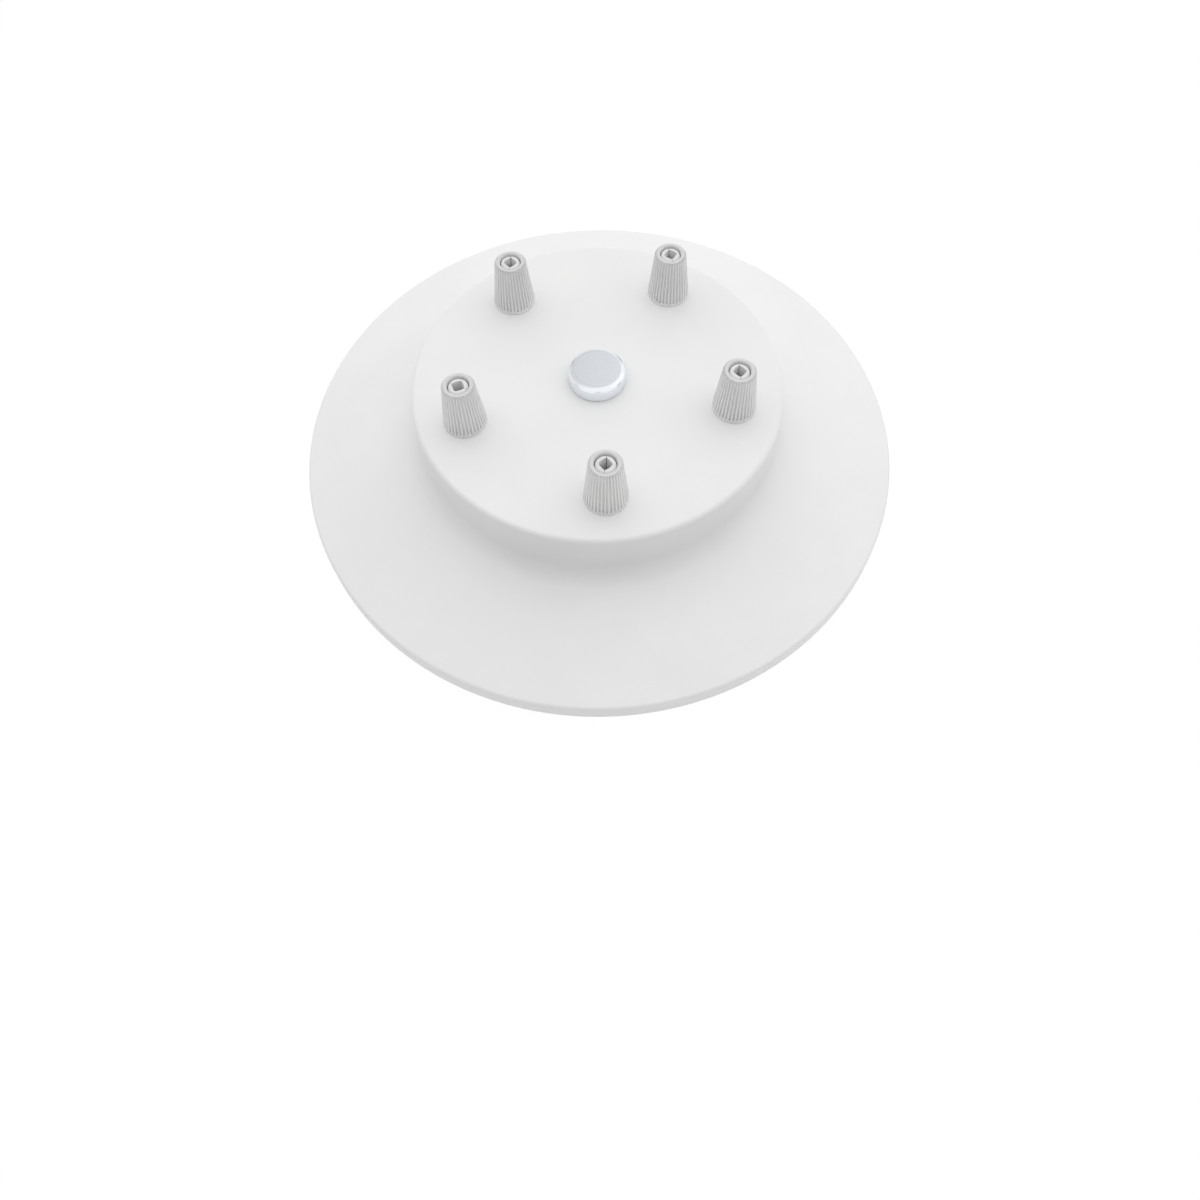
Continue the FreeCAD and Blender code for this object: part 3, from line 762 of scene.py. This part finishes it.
def shade(finish, colour, *tones):
    """A colour times one or more values that change over the surface, as the Base Color."""
    scaled = node(finish.tree, "ShaderNodeVectorMath", {0: colour}, operation="SCALE")
    tone = tones[0]
    for factor in tones[1:]:
        product = node(finish.tree, "ShaderNodeMath", operation="MULTIPLY")
        link(finish.tree, (tone, product.inputs[0]), (factor, product.inputs[1]))
        tone = product.outputs[0]
    link(finish.tree, (tone, scaled.inputs["Scale"]), (scaled.outputs[0], finish.sockets["Base Color"]))


def roughen(finish, effect, low, high):
    """An effect as the Roughness, between two values."""
    link(finish.tree, (ranged(finish, finish.effect.outputs[effect], low, high), finish.sockets["Roughness"]))


def emboss(finish, effect, depth, strength):
    """An effect as the height of a bump, of a depth in metres."""
    bump = node(finish.tree, "ShaderNodeBump", {"Strength": strength, "Distance": depth})
    link(finish.tree, (finish.effect.outputs[effect], bump.inputs["Height"]),
         (bump.outputs["Normal"], finish.sockets["Normal"]))


print("helpers:", ", ".join(helper.__name__ for helper in (tint, shade, roughen, emboss)))

# %% [markdown]
# ## White enamel
#
# The shell is powder coated: the powder melts into a satin skin that is never quite level. Seen close, it
# has the low waves of an orange's peel, and its white is very slightly cloudy. A flat white would look like
# paper. The waves are a bump of at most three hundredths of a millimetre, too low to be worth modelling, and
# the clouds move the colour by about two parts in a hundred either way.

# %% Paint

paint = start_finish("white_enamel", grain_group, {"Grain Scale": 700.0, "Cloud Scale": 35.0},
                     {"Specular IOR Level": 0.3, "IOR": 1.5})
tint(paint, "Clouds", dull=(0.815, 0.817, 0.817), bright=(0.845, 0.844, 0.841))
roughen(paint, "Clouds", low=0.42, high=0.52)
emboss(paint, "Grain", depth=0.03 * MM, strength=0.35)
print("white_enamel has", len(paint.tree.nodes), "nodes")

# %% [markdown]
# ## Grey plastic of the grips
#
# The cones and stems are moulded in one pale grey plastic. Subsurface light would soften the fine ribs, so
# there is none, and a very fine grain stands for the spark-eroded face of the mould. The last millimetre of
# the tips is darkened as painted shade, and so are the marked insides: both scale the same colour.

# %% Grips

FLANK = (0.880, 0.880, 0.877)
# Painted shade: the colour is darkened over the last millimetre of the tips.
TIP_PAINTED_SHADE, TIP_PAINTED_SHADE_DEPTH = 0.77, 1.0 * MM
# Painted shade: how dark the marked insides of the mouths and jaws become.
INSIDE_PAINTED_SHADE_TONE = 0.6
MOTTLE = (0.97, 1.01)
TIP_Z = SHELL_TOP + CONE_HEIGHT
grip = start_finish("grey_grip_plastic", grain_group, {"Grain Scale": 2600.0, "Cloud Scale": 90.0},
                    {"Specular IOR Level": 0.4, "IOR": 1.5})
parts = node(grip.tree, "ShaderNodeSeparateXYZ")
marked = node(grip.tree, "ShaderNodeAttribute", attribute_name="inside")
link(grip.tree, (grip.place, parts.inputs[0]))
# Painted shade: the last millimetre of the tips is darkened.
tip = ranged(grip, parts.outputs["Z"], 1.0, TIP_PAINTED_SHADE, (TIP_Z - TIP_PAINTED_SHADE_DEPTH, TIP_Z))
mottle = ranged(grip, grip.effect.outputs["Clouds"], *MOTTLE)
# Painted shade: the marked insides of the mouths and jaws are darkened.
painted_shade = ranged(grip, marked.outputs["Fac"], 1.0, INSIDE_PAINTED_SHADE_TONE, (0.0, 1.0))
shade(grip, FLANK, tip, mottle, painted_shade)
roughen(grip, "Clouds", low=0.40, high=0.50)
emboss(grip, "Grain", depth=0.02 * MM, strength=0.3)
print("grey_grip_plastic has", len(grip.tree.nodes), "nodes")

# %% [markdown]
# ## Waxy plastic of the terminal block
#
# Terminal strips are moulded in a soft, waxy white plastic that lets a little light in, so their edges
# glow. A subsurface share of a third over two millimetres gives that at a small cost.

# %% Terminal block

block = start_finish("block_plastic", grain_group, {"Grain Scale": 1500.0, "Cloud Scale": 120.0},
                     {"Subsurface Weight": 0.3, "Subsurface Radius": (1.0, 1.0, 0.8),
                      "Subsurface Scale": 2 * MM, "IOR": 1.5})
tint(block, "Clouds", dull=(0.74, 0.73, 0.69), bright=(0.80, 0.79, 0.75))
roughen(block, "Clouds", low=0.42, high=0.55)
emboss(block, "Grain", depth=0.03 * MM, strength=0.3)
print("block_plastic has", len(block.tree.nodes), "nodes")

# %% [markdown]
# ## Turned zinc
#
# The cap nut is zinc plated and slightly blue. It is turned, so its lines run round the axis: they depend
# on the distance from the axis and on the height, and not on the turn. Anisotropic shading could do this,
# but it needs tangents. Here the distance and the height take the place of the coordinates that the lines
# are squeezed in. A faint dark ring is painted where the top meets the bend, as a painted reflection of a
# dark line. All other light and shade on the nut are reflections.

# %% Lines round the axis

zinc = start_finish("bright_zinc", lines_group, {"Across": 5200.0, "Along": 8.0}, {"Metallic": 1.0})
parts = node(zinc.tree, "ShaderNodeSeparateXYZ")
flat = node(zinc.tree, "ShaderNodeVectorMath", {1: (1.0, 1.0, 0.0)}, operation="MULTIPLY")
from_axis = node(zinc.tree, "ShaderNodeVectorMath", operation="LENGTH")
round_axis = node(zinc.tree, "ShaderNodeCombineXYZ")
link(zinc.tree, (zinc.place, flat.inputs[0]), (flat.outputs[0], from_axis.inputs[0]),
     (zinc.place, parts.inputs[0]), (from_axis.outputs["Value"], round_axis.inputs["Y"]),
     (parts.outputs["Z"], round_axis.inputs["Z"]), (round_axis.outputs[0], zinc.effect.inputs["Vector"]))
roughen(zinc, "Lines", low=0.20, high=0.34)
emboss(zinc, "Lines", depth=0.012 * MM, strength=0.5)
print("bright_zinc has", len(zinc.tree.nodes), "nodes so far")

# %% Colour of the zinc

ZINC = (0.902, 0.937, 0.985)
STREAKS = (0.94, 1.02)
# Painted reflection: a thin ring at the edge of the nut's top is darkened.
PAINTED_RING_WIDTH, PAINTED_RING_DEPTH = 0.025 * CAP_RADIUS, 0.06
ring = node(zinc.tree, "ShaderNodeMath", {1: CAP_FLAT, 2: PAINTED_RING_WIDTH}, operation="COMPARE")
marks = node(zinc.tree, "ShaderNodeMath", {1: -PAINTED_RING_DEPTH}, operation="MULTIPLY_ADD")
link(zinc.tree, (from_axis.outputs["Value"], ring.inputs[0]), (ring.outputs[0], marks.inputs[0]),
     (ranged(zinc, zinc.effect.outputs["Lines"], *STREAKS), marks.inputs[2]))
shade(zinc, ZINC, marks.outputs[0])
print("bright_zinc has", len(zinc.tree.nodes), "nodes")

# %% [markdown]
# ## Plated steel, rolled strip and brass
#
# The strap was rolled, so its lines run along it. Nuts, screws and washers are small, and patches of
# plating matter more on them. The terminal tubes are drawn brass. Only colours and the scale of the lines
# differ, so one function makes all three.

# %% Small metal parts


def plated(name, dull, bright, rough, lines):
    """A metal whose patches of plating move its colour, with fine lines in its roughness and as a bump."""
    metal = start_finish(name, lines_group, lines, {"Metallic": 1.0})
    tint(metal, "Patches", dull, bright)
    roughen(metal, "Lines", *rough)
    emboss(metal, "Lines", depth=0.015 * MM, strength=0.4)


plated("zinc_steel", dull=(0.58, 0.60, 0.62), bright=(0.68, 0.69, 0.69), rough=(0.28, 0.42),
       lines={"Across": 1500.0, "Along": 700.0})
plated("zinc_strip", dull=(0.57, 0.60, 0.63), bright=(0.67, 0.69, 0.70), rough=(0.26, 0.42),
       lines={"Across": 2600.0, "Along": 40.0})
plated("brass", dull=(0.72, 0.54, 0.25), bright=(0.82, 0.64, 0.34), rough=(0.22, 0.38),
       lines={"Across": 2200.0, "Along": 90.0})
print("finishes:", ", ".join(sorted(FINISHES)))

# %% [markdown]
# ## Dress every piece
#
# The record names a finish for each CAD node, and the pieces made above carry the name of theirs. One pass
# gives every mesh its material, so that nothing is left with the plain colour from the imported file.

# %% Give every mesh its finish

slots = {part["node"]: part["material_slot"] for part in frame["record"]["subparts"]}
dressed = {piece: slots[name] for name, piece in frame["nodes"].items()}
dressed.update({piece: piece["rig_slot"] for piece in [shell, cap_nut, stud, *cones, *stems]})
for piece, slot in dressed.items():
    piece.data.materials.clear()
    piece.data.materials.append(FINISHES[slot])
print("dressed", len(dressed), "meshes")

# %% [markdown]
# ## Floor
#
# Objects like this are often photographed on a white table that is lit through, so that the background
# turns white while the lower edges still get light from below. A pure emission would do that but lose the
# shadow. The floor here is a grey diffuse sheet with a glow of its own, and rays from the camera or from a
# reflection see nine tenths of it as plain white.

# %% Lay the floor

FLOOR_SIZE = 8.0
FLOOR_DROP = 0.1 * MM
side = FLOOR_SIZE / 2
corners = [(-side, -side), (side, -side), (side, side), (-side, side)]
table = bpy.data.meshes.new("paper_floor")
table.from_pydata([(x, y, -FLOOR_DROP) for x, y in corners], [], [(0, 1, 2, 3)])
floor = bpy.data.objects.new("paper_floor", table)
bpy.context.scene.collection.objects.link(floor)
print("floor", FLOOR_SIZE, "m wide")

# %% White of the floor

PAPER = 0.50
PAPER_SHINE = 0.55
PAPER_WHITE = 0.90


def seen_directly(tree):
    """One for rays from the camera, from a glossy reflection or through glass, and zero for the rest."""
    path = node(tree, "ShaderNodeLightPath").outputs
    glossy = node(tree, "ShaderNodeMath", operation="MAXIMUM")
    every = node(tree, "ShaderNodeMath", operation="MAXIMUM")
    link(tree, (path["Is Camera Ray"], glossy.inputs[0]), (path["Is Glossy Ray"], glossy.inputs[1]),
         (glossy.outputs[0], every.inputs[0]), (path["Is Transmission Ray"], every.inputs[1]))
    return every.outputs[0]


white_paper = bpy.data.materials.new("white_paper")
white_paper.use_nodes = True
paper = white_paper.node_tree
paper.nodes.clear()
matt = node(paper, "ShaderNodeBsdfDiffuse", {"Color": (PAPER, PAPER, PAPER, 1)})
shine = node(paper, "ShaderNodeEmission", {"Color": (1, 1, 1, 1), "Strength": PAPER_SHINE})
white = node(paper, "ShaderNodeEmission", {"Color": (1, 1, 1, 1), "Strength": 1.0})
lit = node(paper, "ShaderNodeAddShader")
share = node(paper, "ShaderNodeMath", {1: PAPER_WHITE}, operation="MULTIPLY")
mixed = node(paper, "ShaderNodeMixShader")
out = node(paper, "ShaderNodeOutputMaterial")
link(paper, (matt.outputs[0], lit.inputs[0]), (shine.outputs[0], lit.inputs[1]),
     (seen_directly(paper), share.inputs[0]), (share.outputs[0], mixed.inputs["Fac"]),
     (lit.outputs[0], mixed.inputs[1]), (white.outputs[0], mixed.inputs[2]),
     (mixed.outputs[0], out.inputs["Surface"]))
floor.data.materials.append(white_paper)
print("floor material has", len(paper.nodes), "nodes")

# %% [markdown]
# ## Light of the room
#
# The light is soft and comes mostly from overhead, and more from behind than from the front: the far side
# of the brim is brighter, and the near wall is the darkest face. Lamps could be set up for each of these,
# but a world whose strength changes slowly with the direction gives them together, without any hard
# shadow. Its strength is a level, plus a lean towards one side, plus an overhead share that grows with the
# square of the height.

# %% World as a light

WORLD_LEVEL = 0.42
WORLD_LEAN = (0.06, 0.41, 0.0)
WORLD_OVERHEAD = 1.15
world = bpy.data.worlds.new("studio")
bpy.context.scene.world = world
world.use_nodes = True
studio = world.node_tree
sky = studio.nodes["Background"]
sky.inputs["Color"].default_value = (1, 1, 1, 1)
direction = node(studio, "ShaderNodeTexCoord").outputs["Generated"]
lean = node(studio, "ShaderNodeVectorMath", {1: WORLD_LEAN}, operation="DOT_PRODUCT")
parts = node(studio, "ShaderNodeSeparateXYZ")
squared = node(studio, "ShaderNodeMath", operation="MULTIPLY")
overhead = node(studio, "ShaderNodeMath", {1: WORLD_OVERHEAD, 2: WORLD_LEVEL}, operation="MULTIPLY_ADD")
light = node(studio, "ShaderNodeMath", operation="ADD")
link(studio, (direction, lean.inputs[0]), (direction, parts.inputs[0]),
     (parts.outputs["Z"], squared.inputs[0]), (parts.outputs["Z"], squared.inputs[1]),
     (squared.outputs[0], overhead.inputs[0]), (overhead.outputs[0], light.inputs[0]),
     (lean.outputs["Value"], light.inputs[1]))
print("world level", WORLD_LEVEL, "lean", WORLD_LEAN, "overhead", WORLD_OVERHEAD)

# %% [markdown]
# A polished nut shows the room itself, so the room needs something to show. The camera sees plain white
# behind the object. Reflections see white too, but for a soft grey panel high up at the back on the left:
# it gives the nut's top its grey and leaves its right edge bright.

# %% World as a background

PANEL_TOWARDS = Vector((-0.50, 0.60, 0.62)).normalized()
PANEL_EDGE, PANEL_CORE = 0.58, 0.88
PANEL_GREY = 0.69
to_panel = node(studio, "ShaderNodeVectorMath", {1: PANEL_TOWARDS}, operation="DOT_PRODUCT")
panel = node(studio, "ShaderNodeMapRange",
             {"From Min": PANEL_EDGE, "From Max": PANEL_CORE, "To Min": 1.0, "To Max": PANEL_GREY})
background = node(studio, "ShaderNodeMix", {"B": 1.0}, data_type="FLOAT")
strength = node(studio, "ShaderNodeMix", data_type="FLOAT")
from_camera = node(studio, "ShaderNodeLightPath").outputs["Is Camera Ray"]
link(studio, (direction, to_panel.inputs[0]), (to_panel.outputs["Value"], panel.inputs["Value"]),
     (from_camera, background.inputs["Factor"]), (panel.outputs["Result"], background.inputs["A"]),
     (seen_directly(studio), strength.inputs["Factor"]), (light.outputs[0], strength.inputs["A"]),
     (background.outputs["Result"], strength.inputs["B"]),
     (strength.outputs["Result"], sky.inputs["Strength"]))
print("panel towards", [round(v, 2) for v in PANEL_TOWARDS], "grey", PANEL_GREY)

# %% [markdown]
# ## Lamp
#
# One large, weak softbox on the right makes that side a little brighter than the left. A small lamp would
# draw hard shadows of the grips across the boss. This one is nearly as wide as it is far away, so its
# shadows have very soft edges.

# %% Softbox


def softbox(name, place, aim, width, height, power):
    """A rectangular area lamp at a place, turned to a point."""
    lamp = bpy.data.lights.new(name, "AREA")
    lamp.shape = "RECTANGLE"
    lamp.size, lamp.size_y, lamp.energy = width, height, power
    made = bpy.data.objects.new(name, lamp)
    made.location = place
    made.rotation_euler = (Vector(aim) - Vector(place)).to_track_quat("-Z", "Y").to_euler()
    bpy.context.scene.collection.objects.link(made)
    return made


lamp = softbox("side_softbox", place=(1.05, -0.05, 0.55), aim=(0, 0, 0.04), width=1.0, height=1.0, power=0.6)
print("lamp:", lamp.name, lamp.data.energy, "W")

# %% [markdown]
# ## Camera
#
# The camera is placed by angles and a distance rather than by eye: the ellipses of the rim and the boss
# fix how steeply it looks down, and their ratio fixes the distance and the lens. A small shift lifts the
# object in the frame, as in the photograph, without turning the camera.

# %% Place the camera

LENS, SENSOR = 29.578, 36.0
PITCH_DOWN, SWING, ROLL = math.radians(58.582), math.radians(-2.327), math.radians(-1.176)
DISTANCE = 0.33559
AIM_FORWARD = 0.02426
SHIFT_UP = -0.08188
NEAR, FAR = 0.01, 50.0
forward = Vector((math.sin(SWING), -math.cos(SWING), 0))
back = forward * math.cos(PITCH_DOWN) + Vector((0, 0, math.sin(PITCH_DOWN)))
camera_data = bpy.data.cameras.new("camera")
camera_data.lens, camera_data.sensor_width, camera_data.shift_y = LENS, SENSOR, SHIFT_UP
camera_data.clip_start, camera_data.clip_end = NEAR, FAR
camera = bpy.data.objects.new("camera", camera_data)
turn = (-back).to_track_quat("-Z", "Y").to_matrix().to_4x4() @ Matrix.Rotation(ROLL, 4, "Z")
camera.matrix_world = Matrix.Translation(forward * AIM_FORWARD + back * DISTANCE) @ turn
bpy.context.scene.collection.objects.link(camera)
bpy.context.scene.camera = camera
bpy.context.scene.view_settings.view_transform = "Standard"
print("camera at", [round(v, 4) for v in camera.location])
